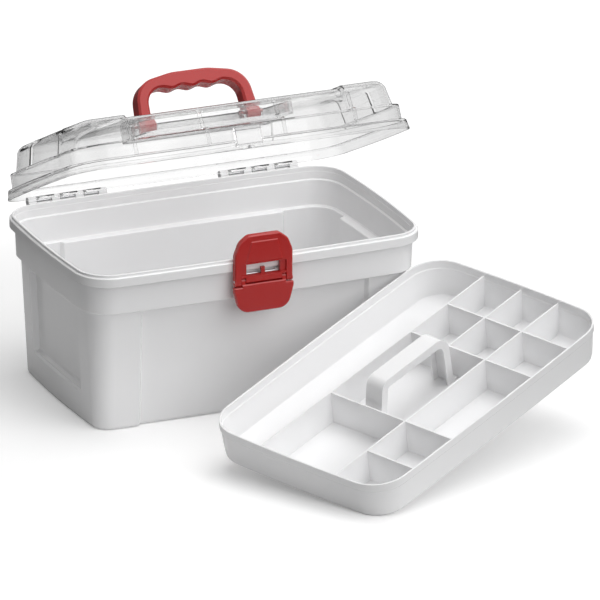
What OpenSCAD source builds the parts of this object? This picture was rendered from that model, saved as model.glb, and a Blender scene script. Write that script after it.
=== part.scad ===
// Medicine carry box: a white box with a clear hinged lid, a red carry handle,
// a red two-piece latch, and a lift-out tray that leans against its front.

/* [Box] */
// Length of the box over its rim
box_l = 380; // [330:1:430]
// Width of the box over its rim, front to back
box_w = 241; // [215:1:270]
// How far the ends bow outwards
end_bow = 5.9; // [4:0.1:8]
// How far the long sides bow outwards
side_bow = 3.6; // [2.5:0.1:5]
// Radius of the plan corners at the rim
corner_r = 36; // [33:0.5:44]
// Height of the ledge that the lid closes on
ledge_z = 168.3; // [150:0.1:200]
// Wall thickness of the box
wall = 2.5; // [2:0.1:3]
// Height of the downturned rim
rim_h = 9.6; // [8:0.1:12]
// Thickness of the downturned rim
rim_t = 2.2; // [1.8:0.1:2.4]
// Height of the lip that stands inside the lid
lip_h = 2.8; // [2:0.1:4]
// Distance of the lip from the rim's outer face
lip_in = 2.4; // [2.4:0.1:2.8]
// Distance of the upper band's wall from the rim's outer face
band_in = 5.2; // [5:0.1:6]
// Height of the upper band below the rim
band_h = 31.1; // [27:0.1:36]
// How far the band's wall draws in towards its lower edge
band_draft = 1.4; // [1:0.1:2]
// Step from the band to the corner columns below it
body_step = 4.9; // [4:0.1:6]
// How far the body draws in from the band to the floor
body_draft = 6.5; // [5:0.1:8]
// Radius of the edge round the floor
floor_r = 3.5; // [2:0.1:5]

/* [Panels of the box] */
// Half length of the sunk panel in the front and the back
front_panel = 125; // [112:0.5:132]
// Depth of the front and back panels
front_sink = 4.4; // [2:0.1:6]
// Half length of the sunk panel in each end
end_panel = 63; // [55:0.5:70]
// Depth of the end panels
end_sink = 6.5; // [3:0.1:8]
// Height of the lower edge of the end panels
end_panel_z = 31; // [20:0.5:45]
// Length of the sloped flank beside a panel
flank = 3; // [2:0.1:5]

/* [Lid] */
// Wall thickness of the lid
lid_wall = 1.8; // [1.4:0.1:1.9]
// Height of the lid's own rim
lid_rim_h = 10.5; // [8:0.1:12]
// How far the lid's rim draws in over its height
lid_rim_draft = 2; // [1:0.1:3]
// Step from the lid's rim to its skirt
lid_step = 4.5; // [3.5:0.1:6]
// Height of the skirt above the lid's rim
skirt_h = 16; // [12:0.1:18]
// Step from the skirt to the crown
crown_step = 6; // [4:0.1:8]
// Height of the crown above the skirt
crown_h = 24.5; // [20:0.1:30]
// Radius of the crown's upper edge
crown_r = 12; // [8:0.5:15]
// How far the crown draws in below its rounded edge
crown_draft = 3.5; // [2:0.1:6]
// How far the two end blocks stand above the middle of the crown
block_up = 2.4; // [1:0.1:4]
// Half length of the lower middle stretch between the end blocks
block_x = 119; // [105:0.5:125]
// Depth of that middle stretch in the front and the back
block_sink = 3; // [1.5:0.1:4]
// Half width of the sunk panel in each end of the lid
lid_end_panel = 41.5; // [35:0.5:50]
// Depth of the lid's end panels
lid_end_sink = 2; // [1:0.1:3]
// Angle at which the lid stands open
lid_open = 25.7; // [0:0.1:100]

/* [Hinges] */
// Distance of the hinge axis behind the rim
hinge_back = 10.5; // [8:0.1:14]
// Radius of the hinge knuckles
knuckle_r = 4.2; // [3.6:0.1:5]
// Radius of the hinge pins
hinge_pin_r = 1.5; // [1.2:0.05:2]
// Distance of each hinge's middle from the box's end
hinge_in = 83; // [75:0.5:100]
// Distance from one box knuckle to the next
knuckle_pitch = 26; // [22:0.5:28]
// Length of a box knuckle
knuckle_l = 9; // [7:0.5:11]
// Number of box knuckles in a hinge
knuckles = 4; // [3:1:4]

/* [Handle well in the lid] */
// Half length of the well
well_x = 79; // [75:0.5:84]
// Front end of the well, from the lid's middle
well_front = 55; // [50:0.5:62]
// Back end of the well, from the lid's middle
well_back = 25; // [22:0.5:30]
// Depth of the well
well_depth = 14.6; // [12:0.1:16]
// Corner radius of the well
well_r = 9; // [6:0.5:12]

/* [Carry handle] */
// Half width of the handle outside its feet
grip_half = 65.2; // [60:0.1:70]
// Height of the grip's top above the handle's pins
grip_top = 52.2; // [48:0.1:58]
// Height of the grip's underside above the pins
grip_under = 37.5; // [32:0.1:40]
// Depth of the handle, front to back
grip_d = 19.6; // [16:0.1:20]
// Width of each leg
leg_w = 14; // [10:0.1:15]
// Chamfer on the handle's long edges
grip_chamfer = 2.2; // [1:0.1:4]
// Distance between finger grooves
finger_pitch = 22; // [19:0.5:24]
// Depth of a finger groove
finger_depth = 2.6; // [1.5:0.1:3.5]
// How far the raised handle leans back from the lid's normal
handle_lean = 9; // [0:0.5:15]
// Distance of the handle's pins behind the lid's middle
handle_y = 8; // [4:0.5:12]
// Radius of the handle's pins
handle_pin_r = 2; // [1.5:0.1:3]
// Thickness of the lugs that hold those pins
lug_t = 4; // [3:0.1:6]

/* [Latch] */
// Width of the hook frame
hook_w = 63; // [56:0.5:70]
// Height of the hook's arch above the ledge
hook_up = 28.7; // [27.5:0.1:32]
// Depth of the hook's rails, front to back
rail_d = 6.2; // [5:0.1:8]
// Width of each rail
rail_w = 6.9; // [6:0.1:8]
// Width of the window in the hook
window_w = 37; // [30:0.5:42]
// Height of the window in the hook
window_h = 12.5; // [10:0.1:14]
// Depth of the window's upper edge below the ledge
window_down = 1.3; // [0:0.1:3]
// Height of the lid's keeper above the ledge
keeper_up = 22.8; // [20:0.1:24]
// Half width of the lid's keeper
keeper_half = 14; // [10:0.5:18]
// Length of the lever paddle below the hook's pin
paddle_l = 33; // [28:0.5:36]
// Width of the lever at its shoulders
paddle_w = 65; // [58:0.5:72]
// Thickness of the lever paddle
paddle_t = 5; // [4:0.1:7]
// Radius of the latch's two pins
latch_pin_r = 1.25; // [1:0.05:1.6]
// Material round the latch's pins
eye_wall = 1.2; // [1:0.1:2]
// Distance of the hook's back from the rim's outer face
hook_off = 0.8; // [0.5:0.1:1.5]
// Depth of the hook's pin below the ledge
hook_pin_down = 19.1; // [18.5:0.1:20]
// Height of the lever's pin above the hook's pin
pin_rise = 4.6; // [4.2:0.1:5]
// Thickness of the lever's arms and of the ears on the box
arm_t = 4; // [3:0.1:5]
// Distance of the lever's eyes from the band behind them
eye_off = 0.5; // [0.4:0.1:1.3]
// Room round the eyes behind the hook's bar
eye_room = 0.5; // [0.4:0.1:0.8]
// Width of the peg in the window
peg_w = 4; // [3:0.1:6]
// Height of the peg in the window
peg_h = 7; // [4:0.1:9]

/* [Tray] */
// How much shorter the tray is than the box
tray_less_l = 14; // [13.5:0.1:20]
// How much narrower the tray is than the box
tray_less_w = 12.6; // [12.2:0.1:18]
// How far the tray's ends bow outwards
tray_bow = 3; // [2:0.1:3.5]
// Height of the tray
tray_h = 41; // [36:0.5:44]
// Wall thickness of the tray
tray_wall = 2; // [1.5:0.1:2.5]
// Height of the tray's upper band
tray_band = 8.5; // [6:0.1:12]
// Step below that band
tray_step = 1.1; // [0.5:0.1:2]
// How far the tray draws in towards its floor
tray_draft = 2.4; // [1.5:0.1:4]
// Radius of the edge round the tray's floor
tray_r = 5; // [3:0.5:7]
// Height of the dividers' tops below the tray's rim
divider_down = 4; // [2:0.5:8]
// Thickness of a divider
divider_t = 1.6; // [1.2:0.1:2]
// Place of the long divider beside the open channel
divider_a = 44.5; // [38:0.5:50]
// Place of the long divider that ends the handle bay
divider_c = -50.3; // [-56:0.5:-44]
// Place of the short divider that splits the far cells
divider_b = -3.5; // [-8:0.5:2]
// Place of the cross divider on the near side of the handle bay
cross_1 = -67; // [-72:0.5:-64]
// Place of the cross divider on the far side of the handle bay
cross_2 = 61; // [58:0.5:68]
// Place of the cross divider that splits the far cells
cross_3 = 120.5; // [112:0.5:128]
// Place of the short cross divider in the front row
cross_4 = -127; // [-134:0.5:-118]

/* [Place of the tray] */
// How far the tray's square corner would reach past the box's right end
tray_past = 19.81; // [5:0.01:21]
// How far the tray's square corner would reach behind the box's front rim
tray_under = 38.67; // [20:0.01:38.7]
// How far the tray's square corner would reach below the ground
tray_sunk = 4.705; // [0:0.005:4.705]
// Tilt of the tray about its length
tray_tilt_x = 4.56; // [3:0.01:6]
// Height of the tray's far end above its near end
tray_rise = 85.07; // [75:0.01:90]
// Turn of the tray seen from above
tray_turn = 25.73; // [20:0.01:30]

/* [Tray handle] */
// Height of the handle's top above the tray's rim
strap_up = 19.5; // [15:0.5:26]
// Width of the strap
strap_w = 20.5; // [16:0.5:26]
// Depth of the strap's turned-down edges
strap_edge = 9; // [6:0.5:11]
// Wall thickness of the strap
strap_t = 2; // [1.6:0.1:3]
// Place of the near foot
strap_near = -64.5; // [-65:0.5:-58]
// Place of the far foot
strap_far = 53.5; // [48:0.5:56]
// Slope of the strap's near leg
strap_lean_near = 10.5; // [5:0.5:14]
// Slope of the strap's far leg
strap_lean_far = 4; // [2:0.5:8]
// Radius of the strap's near bend
strap_bend_near = 12; // [10:0.5:16]
// Radius of the strap's far bend
strap_bend_far = 19; // [14:0.5:24]

/* [Clearances] */
// Gap between faces that only come near each other
gap = 0.3; // [0.2:0.05:0.5]
// Radial clearance of a pin in its bore
pin_fit = 0.05; // [0.03:0.01:0.1]
// Gap between the sides of neighbouring knuckles and lugs
side_gap = 0.5; // [0.3:0.05:0.8]

/* [Hidden] */
$fn = 48;
eps = 0.01;
// Small chamfer on a moulded edge, and the larger one where a wall changes its direction
edge = 0.4;
soft_edge = 0.8;
// Extra length of a cut beyond the solid that it cuts
over = 1;
// Depth of a rounded edge at 30 and 45 degrees, as a share of its radius
arc_30 = 1 - cos(30);
arc_45 = 0.3;

red = [0.72, 0.13, 0.13];
white = [0.93, 0.93, 0.93];
clear = [0.86, 0.9, 0.92, 0.35];
steel = [0.6, 0.6, 0.62];

// Plan outline: a rectangle whose four sides are shallow arcs, with round corners.
// plan = [length, width, end bow, side bow, corner radius, end panel, front panel]
box_plan = [box_l, box_w, end_bow, side_bow, corner_r, end_panel, front_panel];
lid_plan = [box_l, box_w, end_bow, side_bow, corner_r, lid_end_panel, block_x];
tray_l = box_l - tray_less_l;
tray_w = box_w - tray_less_w;
tray_plan = [tray_l, tray_w, tray_bow, tray_bow * 0.6, corner_r, end_panel, front_panel];

function end_radius(p) = (pow(p[1] / 2, 2) + p[2] * p[2]) / (2 * p[2]);
function side_radius(p) = (pow(p[0] / 2, 2) + p[3] * p[3]) / (2 * p[3]);
// Where the end wall, drawn in by e, stands at the place y
function end_x(p, e, y) =
    p[0] / 2 - end_radius(p) + sqrt(pow(end_radius(p) - e, 2) - y * y);
// Where the long wall, drawn in by e, stands at the place x
function side_y(p, e, x) =
    p[1] / 2 - side_radius(p) + sqrt(pow(side_radius(p) - e, 2) - x * x);

corner_steps = 8;
function corner_arc(p, e) =
    let (r = max(p[4] - e, 1),
         a = end_radius(p) - e - r,
         b = side_radius(p) - e - r,
         c1 = [p[0] / 2 - end_radius(p), 0],
         c2 = [0, p[1] / 2 - side_radius(p)],
         d = c2 - c1,
         t = (a * a - b * b + d * d) / (2 * norm(d)),
         h = sqrt(a * a - t * t),
         u = d / norm(d),
         c = c1 + u * t + h * [-u[1], u[0]],
         from = atan2(c[1] - c1[1], c[0] - c1[0]),
         to = atan2(c[1] - c2[1], c[0] - c2[0]))
    [for (k = [0:corner_steps])
        let (w = from + (to - from) * k / corner_steps)
        c + r * [cos(w), sin(w)]];

// One quarter of the outline, drawn in by e, with its panels sunk further
function quarter(p, e, end_in, front_in) = concat(
    [for (k = [0:2]) let (y = (p[5] - flank) * k / 2) [end_x(p, e + end_in, y), y]],
    [[end_x(p, e, p[5]), p[5]]],
    corner_arc(p, e),
    [[p[6], side_y(p, e, p[6])]],
    [for (k = [3:-1:0]) let (x = (p[6] - flank) * k / 3) [x, side_y(p, e + front_in, x)]]);

// The whole outline from one quarter
function mirrored(q) = let (n = len(q)) concat(
    q,
    [for (k = [n - 2:-1:0]) [-q[k][0], q[k][1]]],
    [for (k = [1:n - 1]) [-q[k][0], -q[k][1]]],
    [for (k = [n - 2:-1:1]) [q[k][0], -q[k][1]]]);

// A closed ring at height z; row = [z, e, end sink, front sink]
function ring(p, row) =
    [for (v = mirrored(quarter(p, row[1], row[2], row[3]))) [v[0], v[1], row[0]]];

// Skin over a run of closed rings, each with the same number of points. Its two ends
// close round a middle point, or across the ring where that is an arch.
module loft(rings, arch = false) {
    n = len(rings[0]);
    m = len(rings);
    last = (m - 1) * n;
    polyhedron(
        points = concat([for (r = rings) each r], [middle(rings[0]), middle(rings[m - 1])]),
        faces = concat(
            arch
                ? [for (k = [0:n / 2 - 2]) each [[k, k + 1, n - 2 - k], [k, n - 2 - k, n - 1 - k]]]
                : [for (k = [0:n - 1]) [m * n, k, (k + 1) % n]],
            [for (i = [0:m - 2], k = [0:n - 1])
                [i * n + k, (i + 1) * n + k, (i + 1) * n + (k + 1) % n]],
            [for (i = [0:m - 2], k = [0:n - 1])
                [i * n + k, (i + 1) * n + (k + 1) % n, i * n + (k + 1) % n]],
            arch
                ? [for (k = [0:n / 2 - 2]) each [
                    [last + k, last + n - 2 - k, last + k + 1],
                    [last + k, last + n - 1 - k, last + n - 2 - k]]]
                : [for (k = [0:n - 1]) [m * n + 1, last + (k + 1) % n, last + k]]));
}

function middle(ring) = [for (v = ring) 1] * ring / len(ring);

// A flat outline with its corners rounded; each corner is [x, y, radius], 0 for sharp
function rounded(corners, steps = 6) =
    let (n = len(corners))
    [for (i = [0:n - 1])
        if (corners[i][2] == 0) [corners[i][0], corners[i][1]]
        else let (p = [corners[i][0], corners[i][1]],
             q = corners[(i + n - 1) % n],
             s = corners[(i + 1) % n],
             a = ([q[0], q[1]] - p) / norm([q[0], q[1]] - p),
             b = ([s[0], s[1]] - p) / norm([s[0], s[1]] - p),
             half = acos(a * b) / 2,
             r = corners[i][2],
             c = p + (a + b) / norm(a + b) * r / sin(half),
             v = p + a * r / tan(half) - c,
             w = p + b * r / tan(half) - c,
             from = atan2(v[1], v[0]),
             turn = (atan2(w[1], w[0]) - from + 540) % 360 - 180)
        for (k = [0:steps])
            c + r * [cos(from + turn * k / steps), sin(from + turn * k / steps)]];

// The same outline moved inwards by d, where the points run anticlockwise
function drawn_in(path, d) =
    let (n = len(path))
    [for (i = [0:n - 1])
        let (a = path[i] - path[(i + n - 1) % n],
             b = path[(i + 1) % n] - path[i],
             u = [-a[1], a[0]] / norm(a) + [-b[1], b[0]] / norm(b))
        path[i] + u * 2 / (u * u) * d];

// A plate of that outline, standing in the XZ plane from y0 back to y1, chamfered
module plate(path, y0, y1, chamfer_front, chamfer_back = 0, arch = false) {
    rows = concat(
        chamfer_back > 0 ? [[y1, chamfer_back]] : [],
        [[y1 - chamfer_back, 0], [y0 + chamfer_front, 0]],
        chamfer_front > 0 ? [[y0, chamfer_front]] : []);
    loft([for (row = rows)
        let (path_in = row[1] > 0 ? drawn_in(path, row[1]) : path)
        [for (v = path_in) [v[0], row[0], v[1]]]], arch);
}

// Extrudes a flat shape in the YZ plane from x0 to x1
module along_x(x0, x1) {
    translate([x0, 0, 0])
        rotate([90, 0, 90])
            linear_extrude(height = x1 - x0)
                children();
}

module rod(x0, x1, y, z, r) {
    translate([x0, y, z])
        rotate([0, 90, 0])
            cylinder(r = r, h = x1 - x0);
}

band_z = ledge_z - rim_h - band_h;
lip_z = ledge_z + lip_h;
shoulder_z = band_z + wall;
front_y = -box_w / 2;
band_front = front_y + band_in;
body_in = band_in + band_draft + body_step;

// How far the columns stand in from the rim at height z
function body_e(z) = body_in + body_draft * (band_z - z) / band_z;

hinge_x = box_l / 2 - hinge_in;
axis_y = box_w / 2 + hinge_back;
axis_z = ledge_z;
lid_z = ledge_z + gap;
knuckle_reach = knuckle_pitch * (knuckles - 1) / 2;

module lid_pose() {
    translate([0, axis_y, axis_z])
        rotate([-lid_open, 0, 0])
            translate([0, -axis_y, -axis_z])
                children();
}

// Latch pins: the lever turns on the box, the hook turns on the lever
hook_back = front_y - hook_off;
hook_front = hook_back - rail_d;
hook_pin_y = (hook_back + hook_front) / 2;
hook_pin_z = ledge_z - hook_pin_down;
latch_eye = latch_pin_r + eye_wall;
lever_pin_y = band_front - latch_eye - eye_off;
lever_pin_z = hook_pin_z + pin_rise;
rail_in = hook_w / 2 - rail_w;
arm_out = rail_in - side_gap;
arm_in = arm_out - arm_t;
ear_out = arm_in - side_gap;
ear_in = ear_out - arm_t;
rail_end = 2.1;

// Thickness of the lip, and how far it widens below
lip_t = 1.8;
lip_taper = 0.8;
// Height over which the lower edge of an end panel slopes, and where the slope eases
panel_rise = 7;
panel_ease = 4;

module base_box() {
    slope_z = end_panel_z + panel_ease;
    panel_z = end_panel_z + panel_rise;
    web_z = axis_z - knuckle_r + edge;
    outside = [
        [0, body_e(0) + floor_r, 0, front_sink],
        [floor_r * arc_45, body_e(0) + floor_r * arc_45, 0, front_sink],
        [floor_r, body_e(floor_r), 0, front_sink],
        [end_panel_z, body_e(end_panel_z), 0, front_sink],
        [slope_z, body_e(slope_z), end_sink - 1, front_sink],
        [panel_z, body_e(panel_z), end_sink, front_sink],
        [band_z, body_e(band_z), end_sink, front_sink],
        [band_z, band_in + band_draft + soft_edge, 0, 0],
        [band_z + soft_edge, band_in + band_draft, 0, 0],
        [ledge_z - wall, band_in, 0, 0],
        [ledge_z - wall, rim_t, 0, 0],
        [ledge_z - rim_h, rim_t, 0, 0],
        [ledge_z - rim_h, edge, 0, 0],
        [ledge_z - rim_h + edge, 0, 0, 0],
        [ledge_z - soft_edge, 0, 0, 0],
        [ledge_z, soft_edge, 0, 0],
        [ledge_z, lip_in, 0, 0],
        [lip_z - edge, lip_in, 0, 0],
        [lip_z, lip_in + edge, 0, 0]];
    inside = [
        [lip_z, lip_in + lip_t, 0, 0],
        [lip_z - edge, lip_in + lip_t + edge, 0, 0],
        [ledge_z - rim_h - edge, lip_in + lip_t + lip_taper, 0, 0],
        [ledge_z - rim_h - edge - wall / 2, band_in + wall, 0, 0],
        [shoulder_z + soft_edge, band_in + band_draft + wall, 0, 0],
        [shoulder_z, band_in + band_draft + wall + soft_edge, 0, 0],
        [shoulder_z, body_e(shoulder_z) + wall - soft_edge, end_sink, front_sink],
        [shoulder_z - soft_edge, body_e(shoulder_z) + wall, end_sink, front_sink],
        [panel_z + wall, body_e(panel_z + wall) + wall, end_sink, front_sink],
        [slope_z + wall, body_e(slope_z + wall) + wall, end_sink - 1, front_sink],
        [end_panel_z + wall, body_e(end_panel_z + wall) + wall, 0, front_sink],
        [wall + floor_r, body_e(floor_r) + wall, 0, front_sink],
        [wall + floor_r * arc_45, body_e(0) + wall + floor_r * arc_45, 0, front_sink],
        [wall, body_e(0) + wall + floor_r, 0, front_sink]];
    color(white) difference() {
        union() {
            loft([for (row = concat(outside, inside)) ring(box_plan, row)]);
            // Hinge knuckles and their webs
            for (s = [-1, 1], k = [0:knuckles - 1])
                knuckle(s * hinge_x - knuckle_reach + k * knuckle_pitch, knuckle_l,
                    rim_t / 2, web_z, axis_z - web_z - edge / 2);
            // Ears that hold the lever's pin
            for (s = [-1, 1])
                along_x(s > 0 ? ear_in : -ear_out, s > 0 ? ear_out : -ear_in) {
                    translate([lever_pin_y, lever_pin_z])
                        circle(r = latch_eye);
                    translate([lever_pin_y, lever_pin_z - latch_eye])
                        square([band_front + wall * 0.75 - lever_pin_y, 2 * latch_eye]);
                }
        }
        for (s = [-1, 1])
            rod(s * hinge_x - knuckle_reach - knuckle_l, s * hinge_x + knuckle_reach + knuckle_l,
                axis_y, axis_z, hinge_pin_r + pin_fit);
        rod(-ear_out - over, ear_out + over, lever_pin_y, lever_pin_z, latch_pin_r + pin_fit);
    }
}

// A hinge knuckle at the place x, with a web from z up by h into the wall at inset e
module knuckle(x, l, e, z, h) {
    root_y = side_y(box_plan, e, x);
    along_x(x - l / 2, x + l / 2) {
        translate([axis_y, axis_z])
            circle(r = knuckle_r);
        translate([root_y, z])
            square([axis_y - root_y, h]);
    }
}

module hinge_pin(s) {
    color(steel)
        rod(s * hinge_x - knuckle_reach - knuckle_l / 2, s * hinge_x + knuckle_reach + knuckle_l / 2,
            axis_y, axis_z, hinge_pin_r);
}

module hinge_pin_left() {
    hinge_pin(-1);
}

module hinge_pin_right() {
    hinge_pin(1);
}

module lever_pin() {
    color(steel)
        rod(-arm_out, arm_out, lever_pin_y, lever_pin_z, latch_pin_r);
}

skirt_e = lid_rim_draft + lid_step;
skirt_z = lid_z + lid_rim_h;
skirt_draft = 0.5;
crown_e = skirt_e + skirt_draft + crown_step;
crown_z = skirt_z + skirt_h;
top_z = crown_z + crown_h;
well_z = top_z - well_depth;
foot_up = 0.8;
handle_z = well_z + grip_d / 2 + foot_up;
// Material round the handle's pins in their lugs
lug_wall = 2.6;

// A ring at the crown's top: the end blocks stand higher than the middle stretch
function top_ring(e, z, up) =
    [for (v = mirrored(quarter(lid_plan, e, lid_end_sink, block_sink)))
        [v[0], v[1], z + (abs(v[0]) >= block_x - eps ? up : 0)]];

// Length of the slope from an end block down to the middle stretch
block_slope = 2;
// How much of the lid's depth the end block's inner edge keeps
block_share = 0.97;

// The end blocks' inner edge, where the top falls to the middle stretch
function block_ring(e, x, z, up) =
    [for (v = mirrored(quarter(lid_plan, e, lid_end_sink, block_sink)))
        [sign(v[0]) * min(abs(v[0]), x), v[1] * block_share, z + (abs(v[0]) >= block_x - eps ? up : 0)]];

// The well's outline, matched point by point to the lid's outline
function well_ring(d, z) =
    let (half_w = (well_front + well_back) / 2 - d,
         mid = (well_back - well_front) / 2,
         x = well_x - d,
         q = concat(
            [for (k = [0:3]) [x, (half_w - well_r) * k / 4]],
            [for (k = [0:corner_steps])
                [x - well_r, half_w - well_r] + well_r * [cos(90 * k / corner_steps),
                    sin(90 * k / corner_steps)]],
            [for (k = [4:-1:0]) [(x - well_r) * k / 5, half_w]]))
    [for (v = mirrored(q)) [v[0], v[1] + mid, z]];

module lid() {
    t = lid_wall;
    arc = [for (k = [0:4]) [sin(k * 22.5), 1 - cos(k * 22.5)]];
    outside = [
        [lid_z, edge, 0, 0],
        [lid_z + edge, 0, 0, 0],
        [skirt_z - soft_edge, lid_rim_draft, 0, 0],
        [skirt_z, lid_rim_draft + soft_edge, 0, 0],
        [skirt_z, skirt_e, 0, 0],
        [crown_z - soft_edge, skirt_e + skirt_draft, 0, 0],
        [crown_z, skirt_e + skirt_draft + soft_edge, 0, 0],
        [crown_z, crown_e, lid_end_sink, block_sink]];
    inside = [
        [crown_z - t, crown_e + t, lid_end_sink, block_sink],
        [crown_z - t, skirt_e + skirt_draft + t, 0, 0],
        [skirt_z - t, skirt_e + t, 0, 0],
        [skirt_z - t, lid_rim_draft + t, 0, 0],
        [lid_z + lip_h + soft_edge, t, 0, 0],
        [lid_z, t, 0, 0]];
    top_e = crown_e + crown_draft + crown_r;
    color(clear) lid_pose() difference() {
        union() {
            loft(concat(
                [well_ring(-t, well_z - t), well_ring(-t, top_z - t)],
                [block_ring(top_e + 2, block_x - block_slope, top_z - t, 0)],
                [block_ring(top_e + 1, block_x + 1 + t, top_z - t, block_up)],
                [for (k = [4:-1:0]) top_ring(
                    crown_e + crown_draft + t + (crown_r - t) * arc[k][1],
                    top_z - crown_r + (crown_r - t) * arc[k][0], block_up)],
                [for (row = inside) ring(lid_plan, row)],
                [for (row = outside) ring(lid_plan, row)],
                [for (k = [0:4]) top_ring(
                    crown_e + crown_draft + crown_r * arc[k][1],
                    top_z - crown_r + crown_r * arc[k][0], block_up)],
                [block_ring(top_e + 1, block_x + 1, top_z, block_up)],
                [block_ring(top_e + 2, block_x - block_slope, top_z, 0)],
                [well_ring(0, top_z), well_ring(0, well_z)]));
            // Keeper that the latch hook grips
            translate([-keeper_half, front_y + keeper_in, lid_z + keeper_low])
                cube([2 * keeper_half, skirt_e + lid_wall - keeper_in, keeper_up - keeper_low - gap]);
            // Knuckles between the box's knuckles
            for (s = [-1, 1], k = [0:knuckles - 2])
                knuckle(s * hinge_x - knuckle_reach + (k + 0.5) * knuckle_pitch, lid_knuckle_l,
                    lid_wall / 2 + edge, lid_z + edge / 2, knuckle_r - gap - soft_edge);
            // Lugs on both sides of each handle foot
            for (s = [-1, 1], x = [foot_out + side_gap, foot_out - leg_w - side_gap - lug_t])
                along_x(s > 0 ? x : -x - lug_t, s > 0 ? x + lug_t : -x) {
                    translate([handle_y, handle_z])
                        circle(r = handle_pin_r + lug_wall);
                    translate([handle_y - handle_pin_r - lug_wall, well_z - lid_wall / 2])
                        square([2 * (handle_pin_r + lug_wall), handle_z - well_z + lid_wall / 2]);
                }
        }
        for (s = [-1, 1])
            rod(s * hinge_x - knuckle_reach, s * hinge_x + knuckle_reach,
                axis_y, axis_z, hinge_pin_r + pin_fit);
        for (s = [-1, 1])
            rod(s * foot_mid - lug_reach - over, s * foot_mid + lug_reach + over,
                handle_y, handle_z, handle_pin_r + pin_fit);
    }
}

keeper_low = lip_h + soft_edge;
keeper_in = 0.6;
lid_knuckle_l = knuckle_pitch - knuckle_l - 2 * side_gap;
// How far the feet stand outside the grip, and the round feet inside the legs' faces
foot_flare = 0.8;
foot_proud = 0.4;
foot_out = grip_half + foot_flare;
foot_mid = foot_out - leg_w / 2;
lug_reach = leg_w / 2 + side_gap + lug_t;

module handle_pin(s) {
    color(red) lid_pose()
        rod(s * foot_mid - lug_reach, s * foot_mid + lug_reach,
            handle_y, handle_z, handle_pin_r);
}

module handle_pin_left() {
    handle_pin(-1);
}

module handle_pin_right() {
    handle_pin(1);
}

// Shoulders of the carry handle: how far in, how far down, and their radius
shoulder_in = 4.4;
shoulder_down = 7.4;
shoulder_r = 26;
// Half length of the grip's flat top, and the radius of its ends
grip_flat = 20;
grip_flat_r = 60;
// Radius of the grip's inner corners
grip_corner_r = 17;
// Number of finger grooves, the outer two running into the corners, and points along one
fingers = 4;
finger_points = 8;

// The carry handle's outline, seen from the front, with its pins at height 0
module carry_handle() {
    grip_in = grip_half - leg_w - foot_flare;
    wave_x = (fingers - 1) * finger_pitch / 2;
    wave = [for (k = [0:(fingers - 1) * finger_points])
        let (x = -wave_x + k * finger_pitch / finger_points)
        [x, grip_under - finger_depth * (1 + cos(360 * x / finger_pitch)) / 2, 0]];
    inner_steps = 7;
    outer_steps = ((fingers - 1) * finger_points + 2 * inner_steps - 2) / 4;
    foot_x = foot_out - foot_proud;
    leg_in_x = foot_out - leg_w + foot_proud;
    shoulder_x = grip_half - shoulder_in;
    shoulder_y = grip_top - shoulder_down;
    outer = rounded([
        [foot_x, -over, 0], [shoulder_x, shoulder_y, shoulder_r],
        [grip_flat, grip_top, grip_flat_r], [0, grip_top, 0], [-grip_flat, grip_top, grip_flat_r],
        [-shoulder_x, shoulder_y, shoulder_r], [-foot_x, -over, 0]], outer_steps);
    inner = rounded(concat(
        [[-leg_in_x, -over, 0], [-grip_in, grip_under, grip_corner_r]],
        wave,
        [[grip_in, grip_under, grip_corner_r], [leg_in_x, -over, 0]]), inner_steps);
    color(red) lid_pose()
        translate([0, handle_y, handle_z])
            rotate([-handle_lean, 0, 0])
                difference() {
                    union() {
                        plate(concat(outer, inner), -grip_d / 2, grip_d / 2,
                            grip_chamfer, grip_chamfer, true);
                        // Round feet between the lugs
                        for (s = [-1, 1])
                            rod(s * foot_mid - leg_w / 2, s * foot_mid + leg_w / 2,
                                0, 0, grip_d / 2 - foot_proud);
                    }
                    for (s = [-1, 1])
                        rod(s * foot_mid - leg_w / 2 - over, s * foot_mid + leg_w / 2 + over,
                            0, 0, handle_pin_r + pin_fit);
                }
}

// How far the lever's paddle stands before the hook, and the chamfer on its front
lever_proud = 0.8;
lever_chamfer = 0.9;
// The paddle's shoulders: their height and two radii
shoulder_h = 4.5;
shoulder_top_r = 1.2;
shoulder_low_r = 2;
// How far the paddle's lower end draws in, and its radius
paddle_in = 6;
paddle_r = 13;
// Half width of the web between the two eyes of an arm
arm_web = 2.6;

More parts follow.
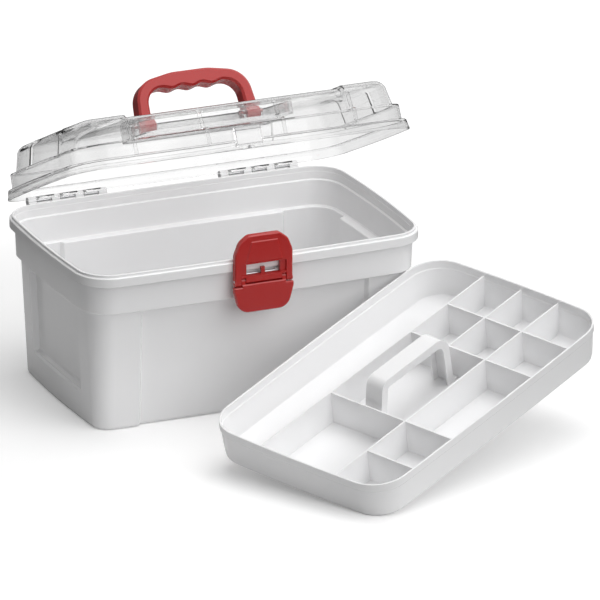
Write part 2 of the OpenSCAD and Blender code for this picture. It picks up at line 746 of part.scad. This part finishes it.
module latch_lever() {
    top = hook_pin_z - latch_eye - gap - eye_room;
    low = hook_pin_z - paddle_l;
    shoulder = paddle_w / 2;
    shoulder_z = hook_pin_z - rail_d / 2 - rail_end - gap - edge;
    y0 = hook_front - lever_proud;
    root_z = top - arm_t * 0.75;
    web = arm_web * [cos(45), sin(45)];
    shape = rounded([
        [-arm_out, top, 0], [-arm_out, shoulder_z, 0],
        [-shoulder, shoulder_z, shoulder_top_r], [-shoulder, shoulder_z - shoulder_h, shoulder_low_r],
        [-shoulder + paddle_in, low, paddle_r], [shoulder - paddle_in, low, paddle_r],
        [shoulder, shoulder_z - shoulder_h, shoulder_low_r], [shoulder, shoulder_z, shoulder_top_r],
        [arm_out, shoulder_z, 0], [arm_out, top, 0]]);
    color(red) difference() {
        union() {
            plate(shape, y0, y0 + paddle_t, lever_chamfer);
            // Arms that carry both pins
            for (s = [-1, 1])
                along_x(s > 0 ? arm_in : -arm_out, s > 0 ? arm_out : -arm_in) {
                    translate([hook_pin_y, hook_pin_z])
                        circle(r = latch_eye);
                    translate([lever_pin_y, lever_pin_z])
                        circle(r = latch_eye);
                    polygon([
                        [y0 + 1, root_z], [y0 + 1, top], [hook_pin_y - latch_eye, hook_pin_z],
                        [hook_pin_y - web[0], hook_pin_z + web[1]],
                        [lever_pin_y - web[0], lever_pin_z + web[1]],
                        [lever_pin_y + web[0], lever_pin_z - web[1]],
                        [hook_pin_y + latch_eye, root_z]]);
                }
        }
        for (pin = [[hook_pin_y, hook_pin_z], [lever_pin_y, lever_pin_z]])
            rod(-arm_out - over, arm_out + over, pin[0], pin[1], latch_pin_r + pin_fit);
    }
}

module hook_pin() {
    color(steel)
        rod(-hook_w / 2, hook_w / 2, hook_pin_y, hook_pin_z, latch_pin_r);
}

// Corners of the hook's arch, each [how far in from the side, height above the ledge, radius]
arch_low = [0, 9, 14];
arch_mid = [5.2, 21.8, 12];
arch_top = [14.5, hook_up, 7];
// Raised panel of the hook: half widths at its foot and top, distance below the arch
panel_foot = 22;
panel_head = 15.5;
panel_down = 5;
panel_proud = 0.9;
// Chamfer on the front of the hook
hook_chamfer = 1.1;
// Depth of the sunk field round the window
field_sink = 2.2;
// Room above the middle knuckle for the ears and arms beside it
knuckle_room = 1.2;
// Height of the bar between the hook's pin and that field
bar_h = 5.6;
// Lip over the keeper: how far it reaches out of the hook, and its thickness
lip_reach = 3.6;
lip_thick = 2.6;

module latch_hook() {
    half = hook_w / 2;
    low = hook_pin_z - rail_end;
    window_top = ledge_z - window_down;
    window_low = window_top - window_h;
    function side(s, c) = [s * (half - c[0]), ledge_z + c[1], c[2]];
    frame = rounded([
        [-half, low, 0], [half, low, 0],
        side(1, arch_low), side(1, arch_mid), side(1, arch_top),
        side(-1, arch_top), side(-1, arch_mid), side(-1, arch_low)]);
    panel_top = ledge_z + hook_up - panel_down;
    panel = rounded([
        [-panel_foot, window_top, 0], [panel_foot, window_top, 0],
        [panel_head, panel_top, 0], [-panel_head, panel_top, 0]]);
    color(red) union() {
        difference() {
            latch_hook_frame(frame, panel, low);
            // Sunk field beside and below the window
            translate([-rail_in, hook_front - over, hook_pin_z + bar_h])
                cube([2 * rail_in, field_sink + over, window_top - hook_pin_z - bar_h]);
            // Window
            translate([-window_w / 2, hook_front - over, window_low])
                cube([window_w, rail_d + 2 * over, window_h]);
            // Room for the lever's eyes and the box's ears behind the bar
            translate([-rail_in, lever_pin_y - latch_eye - eye_room, hook_pin_z])
                cube([2 * rail_in, rail_d, pin_rise + latch_eye + eye_room]);
            // Room for the lever's arms between the two pins
            for (s = [-1, 1])
                translate([s > 0 ? ear_out : -rail_in, hook_pin_y - eye_room / 2, hook_pin_z])
                    cube([rail_in - ear_out, rail_d, latch_eye + rail_end + 2 * eye_room]);
            // Room for the knuckle's neighbours below the bar
            for (s = [-1, 1])
                translate([s > 0 ? ear_out : -rail_in, hook_front - over, low - over])
                    cube([rail_in - ear_out, rail_d + 2 * over,
                        over + rail_end + latch_eye + knuckle_room]);
            rod(-half - over, half + over, hook_pin_y, hook_pin_z, latch_pin_r + pin_fit);
        }
        // Peg that stands in the window
        translate([-peg_w / 2, hook_front + field_sink + edge, window_low - over])
            cube([peg_w, rail_d - field_sink - soft_edge, peg_h + over]);
    }
}

// The hook before its openings are cut
module latch_hook_frame(frame, panel, low) {
    half = hook_w / 2;
    plate(frame, hook_front, hook_back, hook_chamfer);
    // Raised panel
    plate(panel, hook_front - panel_proud, hook_front + field_sink, 2 * hook_chamfer);
    // Ends of the rails, round about the pin
    for (s = [-1, 1])
        rod(s > 0 ? rail_in : -half, s > 0 ? half : -rail_in, hook_pin_y, low, rail_d / 2);
    // Middle knuckle on the pin
    rod(-ear_out, ear_out, hook_pin_y, hook_pin_z, latch_eye);
    // Lip that hooks over the keeper
    translate([-keeper_half - 3, hook_back - over, ledge_z + keeper_up + gap])
        cube([2 * keeper_half + 6, lip_reach + over, lip_thick]);
}

// Where the tray lies: one low corner on the floor, its back edge on the box
module tray_pose() {
    tray_tilt_y = -asin(tray_rise / tray_l);
    // From the tray's middle to its far corner, before and after its turn
    far_x = tray_l / 2 * cos(tray_tilt_y) + tray_w / 2 * sin(tray_tilt_x) * sin(tray_tilt_y);
    far_y = tray_w / 2 * cos(tray_tilt_x);
    far_z = tray_w / 2 * sin(tray_tilt_x) * cos(tray_tilt_y) - tray_l / 2 * sin(tray_tilt_y);
    translate([
        box_l / 2 + tray_past - far_x * cos(tray_turn) + far_y * sin(tray_turn),
        front_y + tray_under - far_x * sin(tray_turn) - far_y * cos(tray_turn),
        far_z - tray_sunk])
        rotate([tray_tilt_x, tray_tilt_y, tray_turn])
            children();
}

tray_band_z = tray_h - tray_band;
divider_z = tray_h - divider_down;

// How far the middle of the tray's wall stands in at height z
function tray_mid(z) = tray_wall / 2
    + (z < tray_band_z ? tray_step + tray_draft * (tray_band_z - z) / tray_band_z : 0)
    + (z < tray_r ? tray_r * 0.4 : 0);

module tray() {
    low = tray_step + tray_draft;
    t = tray_wall;
    outside = [
        [0, low + tray_r, 0, 0],
        [tray_r * arc_30, low + tray_r / 2, 0, 0],
        [tray_r / 2, low + tray_r * arc_30, 0, 0],
        [tray_r, low, 0, 0],
        [tray_band_z - soft_edge, tray_step, 0, 0],
        [tray_band_z + edge, edge / 4, 0, 0],
        [tray_h - edge, 0, 0, 0],
        [tray_h, edge, 0, 0]];
    inside = [
        [tray_h, t - edge, 0, 0],
        [tray_h - edge, t, 0, 0],
        [tray_band_z + edge, t + edge / 4, 0, 0],
        [tray_band_z - soft_edge, t + tray_step, 0, 0],
        [tray_r, t + low, 0, 0],
        [t + (tray_r - t) * arc_45, t + low + (tray_r - t) * arc_45, 0, 0],
        [t, t + low + tray_r - t, 0, 0]];
    color(white) tray_pose() {
        loft([for (row = concat(outside, inside)) ring(tray_plan, row)]);
        // Long dividers
        long_divider(divider_a, -1);
        long_divider(divider_c, -1);
        long_divider(divider_b, cross_2);
        // Cross dividers
        for (x = [cross_1, cross_2, cross_3])
            cross_divider(x, divider_a);
        cross_divider(cross_4, divider_c);
    }
}

tray_levels = [tray_wall / 2, tray_r, tray_band_z, divider_z];

// A divider along the tray at y; from = -1 runs the whole length, else from there
module long_divider(y, from) {
    ends = [for (z = tray_levels) [end_x(tray_plan, tray_mid(z), y), z]];
    starts = from == -1
        ? [for (k = [len(tray_levels) - 1:-1:0]) [-ends[k][0], ends[k][1]]]
        : [[from, divider_z], [from, tray_levels[0]]];
    translate([0, y + divider_t / 2, 0])
        rotate([90, 0, 0])
            linear_extrude(height = divider_t)
                polygon(concat(ends, starts));
}

// A divider across the tray at x, from the place y0 to the front wall
module cross_divider(x, y0) {
    ends = [for (z = tray_levels) [-side_y(tray_plan, tray_mid(z), x), z]];
    along_x(x - divider_t / 2, x + divider_t / 2)
        polygon(concat(ends, [[y0, divider_z], [y0, tray_levels[0]]]));
}

// The strap's outline, drawn in by d: a sloped near leg, a flat top, a round far end
function strap_path(d) =
    let (top = tray_h + strap_up,
         near = strap_lean_near,
         far = strap_lean_far,
         near_r = strap_bend_near,
         far_r = strap_bend_far,
         near_c = [strap_near + (top - near_r - tray_wall) * tan(near) + near_r / cos(near), top - near_r],
         far_c = [strap_far - (top - far_r - tray_wall) * tan(far) - far_r / cos(far), top - far_r])
    concat(
        [[strap_near + d / cos(near), tray_wall]],
        [for (k = [0:6]) let (w = 180 - near - (90 - near) * k / 6)
            near_c + (near_r - d) * [cos(w), sin(w)]],
        [for (k = [0:8]) let (w = 90 - (90 - far) * k / 8)
            far_c + (far_r - d) * [cos(w), sin(w)]],
        [[strap_far - d / cos(far), tray_wall]]);

module strap(d0, d1, width) {
    outer = strap_path(d0);
    inner = strap_path(d1);
    n = len(inner);
    translate([0, divider_b + width / 2, 0])
        rotate([90, 0, 0])
            linear_extrude(height = width)
                polygon(concat(outer, [for (k = [n - 1:-1:0]) inner[k]]));
}

module tray_handle() {
    color(white) tray_pose() {
        difference() {
            strap(0, strap_edge, strap_w);
            strap(strap_t, strap_edge + 1, strap_w - 2 * strap_t);
        }
        // Foot tab at the far end
        translate([strap_far - strap_t, divider_b - strap_w / 2, tray_wall])
            cube([cross_2 - divider_t / 2 - gap - strap_far + strap_t, strap_w, strap_t]);
    }
}

base_box();
hinge_pin_left();
hinge_pin_right();
lever_pin();
lid();
handle_pin_left();
handle_pin_right();
carry_handle();
latch_lever();
hook_pin();
latch_hook();
tray();
tray_handle();
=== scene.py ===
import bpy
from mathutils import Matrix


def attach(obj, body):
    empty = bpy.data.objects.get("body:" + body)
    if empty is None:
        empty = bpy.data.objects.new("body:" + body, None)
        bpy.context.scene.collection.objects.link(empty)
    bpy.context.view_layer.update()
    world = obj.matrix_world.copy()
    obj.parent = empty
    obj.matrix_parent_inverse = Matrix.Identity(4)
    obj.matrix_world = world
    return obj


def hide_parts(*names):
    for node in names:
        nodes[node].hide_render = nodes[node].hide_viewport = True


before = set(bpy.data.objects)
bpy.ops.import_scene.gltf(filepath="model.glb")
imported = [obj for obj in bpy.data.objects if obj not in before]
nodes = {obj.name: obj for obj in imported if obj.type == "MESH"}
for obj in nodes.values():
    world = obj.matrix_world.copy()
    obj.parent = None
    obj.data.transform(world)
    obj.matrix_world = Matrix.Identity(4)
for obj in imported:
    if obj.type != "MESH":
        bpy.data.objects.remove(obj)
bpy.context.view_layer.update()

import math

import bmesh
import bpy
from mathutils import Matrix, Vector


# Studio. The camera stands where the photographer stood, in front of the box's left
# corner and above it, with a long lens. The floor is a pale sheet that only takes a soft
# shadow. Three large soft lamps stand above, in front and to the right.
azimuth = math.radians(-24.22)
elevation = math.radians(19.99)
roll = math.radians(0.39)
forward = Vector((-math.sin(azimuth) * math.cos(elevation),
                  math.cos(azimuth) * math.cos(elevation), -math.sin(elevation)))
level_right = Vector((math.cos(azimuth), math.sin(azimuth), 0))
level_up = level_right.cross(forward)
right = level_right * math.cos(roll) + level_up * math.sin(roll)
up = level_up * math.cos(roll) - level_right * math.sin(roll)
# Where the camera stands, from the box's underside: metres along its own right, up and back.
shift_right, shift_up, stand_off = 0.08889, 0.07916, 8.17374
camera_data = bpy.data.cameras.new("photo camera")
camera_data.lens = 480
camera_data.clip_start = 0.5
camera_data.clip_end = 60
camera = bpy.data.objects.new("photo camera", camera_data)
camera_turn = Matrix((right, up, -forward)).transposed().to_4x4()
camera.matrix_world = Matrix.Translation(
    right * shift_right + up * shift_up - forward * stand_off) @ camera_turn
bpy.context.scene.collection.objects.link(camera)
bpy.context.scene.camera = camera
bpy.context.scene.view_settings.view_transform = "Standard"


def soft_lamp(name, place, aim, size, watts):
    """A white rectangular lamp at place that faces aim; size is its width and height."""
    data = bpy.data.lights.new(name, "AREA")
    data.shape = "RECTANGLE"
    data.size, data.size_y = size
    data.energy = watts
    light = bpy.data.objects.new(name, data)
    light.location = place
    light.rotation_euler = (Vector(aim) - Vector(place)).to_track_quat("-Z", "Y").to_euler()
    bpy.context.scene.collection.objects.link(light)


set_middle = (0.05, -0.1, 0.1)
soft_lamp("key light", (1.1, -1.6, 2.0), set_middle, (1.8, 1.6), watts=9)
soft_lamp("front light", (0.35, -2.4, 0.9), set_middle, (1.8, 1.2), watts=11)
soft_lamp("top light", (0.25, -0.15, 2.2), set_middle, (1.8, 1.6), watts=22)

# The air round the set is bright above, in front and to the right, and falls off to the
# left and behind. The lens sees a white backdrop, also through glass and in reflections.
from_bright_side = (0.45, -0.35, 0.82)
dim_air, bright_air = 0.016, 0.712
world = bpy.data.worlds.new("studio air")
bpy.context.scene.world = world
world.use_nodes = True
tree = world.node_tree
tree.nodes.clear()
direction = tree.nodes.new("ShaderNodeTexCoord")
bright_side = tree.nodes.new("ShaderNodeVectorMath")
bright_side.operation = "DOT_PRODUCT"
bright_side.inputs[1].default_value = from_bright_side
side = tree.nodes.new("ShaderNodeMapRange")
side.inputs["From Min"].default_value = 0.1
side.inputs["From Max"].default_value = 0.95
side.inputs["To Min"].default_value = dim_air
side.inputs["To Max"].default_value = bright_air
seen = tree.nodes.new("ShaderNodeLightPath")
seen_or_through = tree.nodes.new("ShaderNodeMath")
seen_or_through.operation = "MAXIMUM"
seen_or_mirrored = tree.nodes.new("ShaderNodeMath")
seen_or_mirrored.operation = "MAXIMUM"
strength = tree.nodes.new("ShaderNodeMix")
strength.inputs["B"].default_value = 1.0
air = tree.nodes.new("ShaderNodeBackground")
air.inputs["Color"].default_value = (1, 1, 1, 1)
world_out = tree.nodes.new("ShaderNodeOutputWorld")
tree.links.new(direction.outputs["Generated"], bright_side.inputs[0])
tree.links.new(bright_side.outputs["Value"], side.inputs["Value"])
tree.links.new(seen.outputs["Is Camera Ray"], seen_or_through.inputs[0])
tree.links.new(seen.outputs["Is Transmission Ray"], seen_or_through.inputs[1])
tree.links.new(seen_or_through.outputs[0], seen_or_mirrored.inputs[0])
tree.links.new(seen.outputs["Is Glossy Ray"], seen_or_mirrored.inputs[1])
tree.links.new(seen_or_mirrored.outputs[0], strength.inputs["Factor"])
tree.links.new(side.outputs["Result"], strength.inputs["A"])
tree.links.new(strength.outputs["Result"], air.inputs["Strength"])
tree.links.new(air.outputs[0], world_out.inputs["Surface"])

# The floor's paper is pale near the object, where it takes the shadow. Further out it
# turns dark to the lamps and gives off white to the lens, so the ground ends plain white.
floor_radius = 7
near_grey, far_grey = 0.86, 0.15
near_lift, far_lift = 0.25, 1.0
fade_start, fade_end = 0.35, 0.65
sheet = bmesh.new()
bmesh.ops.create_circle(sheet, cap_ends=True, segments=64, radius=floor_radius)
floor_mesh = bpy.data.meshes.new("studio floor")
sheet.to_mesh(floor_mesh)
sheet.free()
floor = bpy.data.objects.new("studio_floor", floor_mesh)
bpy.context.scene.collection.objects.link(floor)
floor_paper = bpy.data.materials.new("floor paper")
floor_paper.use_nodes = True
tree = floor_paper.node_tree
paper = tree.nodes["Principled BSDF"]
paper.inputs["Roughness"].default_value = 0.9
paper.inputs["Specular IOR Level"].default_value = 0
paper.inputs["Emission Color"].default_value = (1, 1, 1, 1)
place = tree.nodes.new("ShaderNodeTexCoord")
distance = tree.nodes.new("ShaderNodeVectorMath")
distance.operation = "LENGTH"
far = tree.nodes.new("ShaderNodeMapRange")
far.interpolation_type = "SMOOTHSTEP"
far.inputs["From Min"].default_value = fade_start
far.inputs["From Max"].default_value = fade_end
paper_colour = tree.nodes.new("ShaderNodeMix")
paper_colour.data_type = "RGBA"
paper_colour.inputs["A"].default_value = (near_grey, near_grey, near_grey, 1)
paper_colour.inputs["B"].default_value = (far_grey, far_grey, far_grey, 1)
paper_lift = tree.nodes.new("ShaderNodeMix")
paper_lift.inputs["A"].default_value = near_lift
paper_lift.inputs["B"].default_value = far_lift
seen = tree.nodes.new("ShaderNodeLightPath")
seen_or_through = tree.nodes.new("ShaderNodeMath")
seen_or_through.operation = "MAXIMUM"
lift = tree.nodes.new("ShaderNodeMath")
lift.operation = "MULTIPLY"
tree.links.new(place.outputs["Object"], distance.inputs[0])
tree.links.new(distance.outputs["Value"], far.inputs["Value"])
tree.links.new(far.outputs["Result"], paper_colour.inputs["Factor"])
tree.links.new(far.outputs["Result"], paper_lift.inputs["Factor"])
tree.links.new(paper_colour.outputs["Result"], paper.inputs["Base Color"])
tree.links.new(seen.outputs["Is Camera Ray"], seen_or_through.inputs[0])
tree.links.new(seen.outputs["Is Transmission Ray"], seen_or_through.inputs[1])
tree.links.new(seen_or_through.outputs[0], lift.inputs[0])
tree.links.new(paper_lift.outputs["Result"], lift.inputs[1])
tree.links.new(lift.outputs[0], paper.inputs["Emission Strength"])
floor_mesh.materials.append(floor_paper)


# Box. One injection moulding in white polypropylene: a downturned rim with hinge knuckles
# behind, a band below it, and a body that steps in to four corner columns with sunk panels
# between them. It is smooth with a soft sheen.
weld = 1e-6


def moulded_copy(node, name, body, material, sharp=28, edge=0.0):
    """One skin over a CAD moulding: its facets joined, its curves shaded smooth.

    An edge that turns more than sharp degrees stays crisp, or is rounded edge metres wide.
    """
    skin = bmesh.new()
    skin.from_mesh(nodes[node].data)
    bmesh.ops.remove_doubles(skin, verts=skin.verts, dist=weld)
    bmesh.ops.dissolve_degenerate(skin, edges=skin.edges, dist=weld)
    for face in skin.faces:
        face.smooth = True
        face.material_index = 0
    for line in skin.edges:
        line.smooth = (len(line.link_faces) == 2
                       and line.calc_face_angle(0) < math.radians(sharp))
    mesh = bpy.data.meshes.new(name)
    skin.to_mesh(mesh)
    skin.free()
    mesh.materials.clear()
    mesh.materials.append(material)
    piece = bpy.data.objects.new(name, mesh)
    bpy.context.scene.collection.objects.link(piece)
    if edge:
        soft = piece.modifiers.new("soft edges", "BEVEL")
        soft.width = edge
        soft.segments = 2
        soft.limit_method = "ANGLE"
        soft.angle_limit = math.radians(sharp)
        soft.harden_normals = True
    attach(piece, body)
    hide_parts(node)
    return piece


# The look of a moulded skin: faint flow marks in its colour and roughness, a slow ripple
# from shrinkage and a fine grain from the mould.
moulded = bpy.data.node_groups.new("moulded skin", "ShaderNodeTree")
moulded.interface.new_socket("Colour", in_out="INPUT", socket_type="NodeSocketColor")
moulded.interface.new_socket("Roughness", in_out="INPUT", socket_type="NodeSocketFloat")
moulded.interface.new_socket("Grain", in_out="INPUT", socket_type="NodeSocketFloat")
moulded.interface.new_socket("Colour", in_out="OUTPUT", socket_type="NodeSocketColor")
moulded.interface.new_socket("Roughness", in_out="OUTPUT", socket_type="NodeSocketFloat")
moulded.interface.new_socket("Normal", in_out="OUTPUT", socket_type="NodeSocketVector")
given = moulded.nodes.new("NodeGroupInput")
given_out = moulded.nodes.new("NodeGroupOutput")
place = moulded.nodes.new("ShaderNodeTexCoord")
flow = moulded.nodes.new("ShaderNodeTexNoise")
flow.inputs["Scale"].default_value = 9
flow.inputs["Detail"].default_value = 3
flow_range = moulded.nodes.new("ShaderNodeMapRange")
flow_range.inputs["To Min"].default_value = 0.965
flow_range.inputs["To Max"].default_value = 1.02
tint = moulded.nodes.new("ShaderNodeMix")
tint.data_type = "RGBA"
tint.blend_type = "MULTIPLY"
tint.inputs["Factor"].default_value = 1
rough_range = moulded.nodes.new("ShaderNodeMapRange")
rough_range.inputs["To Min"].default_value = -0.05
rough_range.inputs["To Max"].default_value = 0.05
rough_sum = moulded.nodes.new("ShaderNodeMath")
rough_sum.operation = "ADD"
grain = moulded.nodes.new("ShaderNodeTexNoise")
grain.inputs["Scale"].default_value = 1400
grain.inputs["Detail"].default_value = 2
ripple = moulded.nodes.new("ShaderNodeTexNoise")
ripple.inputs["Scale"].default_value = 38
ripple.inputs["Detail"].default_value = 1
height = moulded.nodes.new("ShaderNodeMath")
height.operation = "MULTIPLY_ADD"
height.inputs[1].default_value = 6
bump = moulded.nodes.new("ShaderNodeBump")
bump.inputs["Distance"].default_value = 0.00004
moulded.links.new(place.outputs["Object"], flow.inputs["Vector"])
moulded.links.new(place.outputs["Object"], grain.inputs["Vector"])
moulded.links.new(place.outputs["Object"], ripple.inputs["Vector"])
moulded.links.new(flow.outputs["Fac"], flow_range.inputs["Value"])
moulded.links.new(flow.outputs["Fac"], rough_range.inputs["Value"])
moulded.links.new(given.outputs["Colour"], tint.inputs["A"])
moulded.links.new(flow_range.outputs["Result"], tint.inputs["B"])
moulded.links.new(given.outputs["Roughness"], rough_sum.inputs[0])
moulded.links.new(rough_range.outputs["Result"], rough_sum.inputs[1])
moulded.links.new(ripple.outputs["Fac"], height.inputs[0])
moulded.links.new(grain.outputs["Fac"], height.inputs[2])
moulded.links.new(height.outputs[0], bump.inputs["Height"])
moulded.links.new(given.outputs["Grain"], bump.inputs["Strength"])
moulded.links.new(tint.outputs["Result"], given_out.inputs["Colour"])
moulded.links.new(rough_sum.outputs[0], given_out.inputs["Roughness"])
moulded.links.new(bump.outputs["Normal"], given_out.inputs["Normal"])


def moulded_plastic(name, colour, roughness, grain_depth):
    """A plastic with the moulded skin; its flow marks vary the colour and roughness given."""
    material = bpy.data.materials.new(name)
    material.use_nodes = True
    links = material.node_tree.links
    shader = material.node_tree.nodes["Principled BSDF"]
    skin = material.node_tree.nodes.new("ShaderNodeGroup")
    skin.node_tree = moulded
    skin.inputs["Colour"].default_value = (*colour, 1)
    skin.inputs["Roughness"].default_value = roughness
    skin.inputs["Grain"].default_value = grain_depth
    links.new(skin.outputs["Colour"], shader.inputs["Base Color"])
    links.new(skin.outputs["Roughness"], shader.inputs["Roughness"])
    links.new(skin.outputs["Normal"], shader.inputs["Normal"])
    return material


white_plastic = moulded_plastic("white polypropylene", (0.94, 0.94, 0.945), 0.2, 0.35)
# The sunk panels have shallow borders, so a lower angle than elsewhere keeps them crisp.
panel_crease = 12
box = moulded_copy("base_box", "box_moulding", "base", white_plastic, sharp=panel_crease)


# Pins. Plain drawn steel wire, cut to length: one in each lid hinge, one for the latch's
# lever and one for its hook. Each is pressed in with hardly any play.
pin_steel = bpy.data.materials.new("drawn steel wire")
pin_steel.use_nodes = True
tree = pin_steel.node_tree
steel = tree.nodes["Principled BSDF"]
steel.inputs["Metallic"].default_value = 1
place = tree.nodes.new("ShaderNodeTexCoord")
stretch = tree.nodes.new("ShaderNodeMapping")
stretch.inputs["Scale"].default_value = (40, 2500, 2500)
draw_marks = tree.nodes.new("ShaderNodeTexNoise")
draw_marks.inputs["Scale"].default_value = 1
shade = tree.nodes.new("ShaderNodeValToRGB")
shade.color_ramp.elements[0].color = (0.68, 0.68, 0.7, 1)
shade.color_ramp.elements[1].color = (0.86, 0.86, 0.87, 1)
rough = tree.nodes.new("ShaderNodeMapRange")
rough.inputs["To Min"].default_value = 0.22
rough.inputs["To Max"].default_value = 0.42
tree.links.new(place.outputs["Object"], stretch.inputs["Vector"])
tree.links.new(stretch.outputs["Vector"], draw_marks.inputs["Vector"])
tree.links.new(draw_marks.outputs["Fac"], shade.inputs["Fac"])
tree.links.new(draw_marks.outputs["Fac"], rough.inputs["Value"])
tree.links.new(shade.outputs["Color"], steel.inputs["Base Color"])
tree.links.new(rough.outputs["Result"], steel.inputs["Roughness"])
for name in ("hinge_pin_left", "hinge_pin_right", "lever_pin", "hook_pin"):
    nodes[name].data.materials.clear()
    nodes[name].data.materials.append(pin_steel)


# Lid. One clear polystyrene moulding: a rim, a skirt, a crown with two raised end blocks,
# and a well in its top that the folded handle lies in. A painted grey shade darkens its
# walls where they stand edge on; they almost vanish where they face the eye. Its shadow stays
# faint.
clear_plastic = bpy.data.materials.new("clear polystyrene")
clear_plastic.use_nodes = True
tree = clear_plastic.node_tree
clear = tree.nodes["Principled BSDF"]
clear.inputs["Transmission Weight"].default_value = 1
clear.inputs["IOR"].default_value = 1.4
place = tree.nodes.new("ShaderNodeTexCoord")
flow_lines = tree.nodes.new("ShaderNodeTexNoise")
flow_lines.inputs["Scale"].default_value = 14
tint = tree.nodes.new("ShaderNodeMapRange")
tint.inputs["To Min"].default_value = 0.76
tint.inputs["To Max"].default_value = 0.95
# Painted shade: the clear colour turns grey, down to half, where a wall is seen edge on.
facing = tree.nodes.new("ShaderNodeLayerWeight")
facing.inputs["Blend"].default_value = 0.5
painted_edge_shade = tree.nodes.new("ShaderNodeMapRange")
painted_edge_shade.inputs["From Min"].default_value = 0.2
painted_edge_shade.inputs["To Min"].default_value = 1.0
painted_edge_shade.inputs["To Max"].default_value = 0.5
flow_tone_and_edge_shade = tree.nodes.new("ShaderNodeMath")
flow_tone_and_edge_shade.operation = "MULTIPLY"
polish = tree.nodes.new("ShaderNodeMapRange")
polish.inputs["To Min"].default_value = 0.01
polish.inputs["To Max"].default_value = 0.06
passed = tree.nodes.new("ShaderNodeBsdfTransparent")
passed.inputs["Color"].default_value = (0.97, 0.97, 0.97, 1)
rays = tree.nodes.new("ShaderNodeLightPath")
shade_or_bounce = tree.nodes.new("ShaderNodeMath")
shade_or_bounce.operation = "MAXIMUM"
choice = tree.nodes.new("ShaderNodeMixShader")
tree.links.new(place.outputs["Object"], flow_lines.inputs["Vector"])
tree.links.new(flow_lines.outputs["Fac"], tint.inputs["Value"])
tree.links.new(flow_lines.outputs["Fac"], polish.inputs["Value"])
tree.links.new(facing.outputs["Facing"], painted_edge_shade.inputs["Value"])
tree.links.new(tint.outputs["Result"], flow_tone_and_edge_shade.inputs[0])
tree.links.new(painted_edge_shade.outputs["Result"], flow_tone_and_edge_shade.inputs[1])
tree.links.new(flow_tone_and_edge_shade.outputs[0], clear.inputs["Base Color"])
tree.links.new(polish.outputs["Result"], clear.inputs["Roughness"])
tree.links.new(rays.outputs["Is Shadow Ray"], shade_or_bounce.inputs[0])
tree.links.new(rays.outputs["Is Diffuse Ray"], shade_or_bounce.inputs[1])
tree.links.new(shade_or_bounce.outputs[0], choice.inputs[0])
tree.links.new(clear.outputs[0], choice.inputs[1])
tree.links.new(passed.outputs[0], choice.inputs[2])
tree.links.new(choice.outputs[0], tree.nodes["Material Output"].inputs["Surface"])
lid = moulded_copy("lid", "lid_moulding", "lid", clear_plastic)

# Four low bands run over the lid's front, from the crown down to the skirt's foot: two
# beside the handle, and two where the end blocks begin. They are part of the clear
# moulding. The lists are the front's outline as (y, z), with the lid shut.
lid_open = math.radians(25.7)
lid_axis = (0, 0.131, 0.1683)
band_width = 0.0036
band_thick = 0.0014
front_band_x = 0.0415
block_band_x = 0.1203
middle_front = [(-0.09735, 0.21615), (-0.09998, 0.21220), (-0.10440, 0.19515),
                (-0.11255, 0.19515), (-0.11337, 0.19430), (-0.11387, 0.17915)]
block_front = [(-0.10170, 0.21465), (-0.10620, 0.19515), (-0.11125, 0.19515),
               (-0.11212, 0.19430), (-0.11265, 0.17915)]


def lid_band(name, x, path):
    """A flat band over the path at x, turned with the lid to where it stands open."""
    strip = bmesh.new()
    points = [strip.verts.new((x - band_width / 2, y, z)) for y, z in path]
    edges = [strip.edges.new(pair) for pair in zip(points, points[1:])]
    swept = bmesh.ops.extrude_edge_only(strip, edges=edges)["geom"]
    bmesh.ops.translate(strip, vec=(band_width, 0, 0),
                        verts=[part for part in swept if isinstance(part, bmesh.types.BMVert)])
    bmesh.ops.reverse_faces(strip, faces=strip.faces[:])
    bmesh.ops.solidify(strip, geom=strip.faces[:], thickness=-band_thick)
    bmesh.ops.recalc_face_normals(strip, faces=strip.faces)
    bmesh.ops.rotate(strip, cent=lid_axis, matrix=Matrix.Rotation(-lid_open, 3, "X"),
                     verts=strip.verts)
    mesh = bpy.data.meshes.new(name)
    strip.to_mesh(mesh)
    strip.free()
    mesh.materials.append(clear_plastic)
    band = bpy.data.objects.new(name, mesh)
    bpy.context.scene.collection.objects.link(band)
    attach(band, "lid")


for hand, way in (("left", -1), ("right", 1)):
    lid_band(f"lid_front_band_{hand}", front_band_x * way, middle_front)
    lid_band(f"lid_block_band_{hand}", block_band_x * way, block_front)


# Carry handle. Red moulded plastic with a grip waved for four fingers and long chamfers,
# on two short pins of the same red between lugs in the lid's well.
handle_edge = 0.0006
red_plastic = moulded_plastic("red moulded plastic", (0.47, 0.018, 0.016), 0.22, 0.4)
carry_handle = moulded_copy("carry_handle", "carry_handle_moulding", "carry_handle",
                            red_plastic, edge=handle_edge)
for name in ("handle_pin_left", "handle_pin_right"):
    nodes[name].data.materials.clear()
    nodes[name].data.materials.append(red_plastic)


# Latch. Two red mouldings: a lever that turns on ears on the box's band, and a hook that
# turns on the lever and grips the lid's keeper. The hook has a raised panel and a window.
latch_edge = 0.0004
lever = moulded_copy("latch_lever", "latch_lever_moulding", "latch_lever", red_plastic,
                     edge=latch_edge)
hook = moulded_copy("latch_hook", "latch_hook_moulding", "latch_hook", red_plastic,
                    edge=latch_edge)


# Tray. One thin white moulding with dividers, and an arched strap handle of the same
# plastic that stands in its middle bay.
tray = moulded_copy("tray", "tray_moulding", "tray", white_plastic)
tray_handle = moulded_copy("tray_handle", "tray_handle_moulding", "tray", white_plastic)
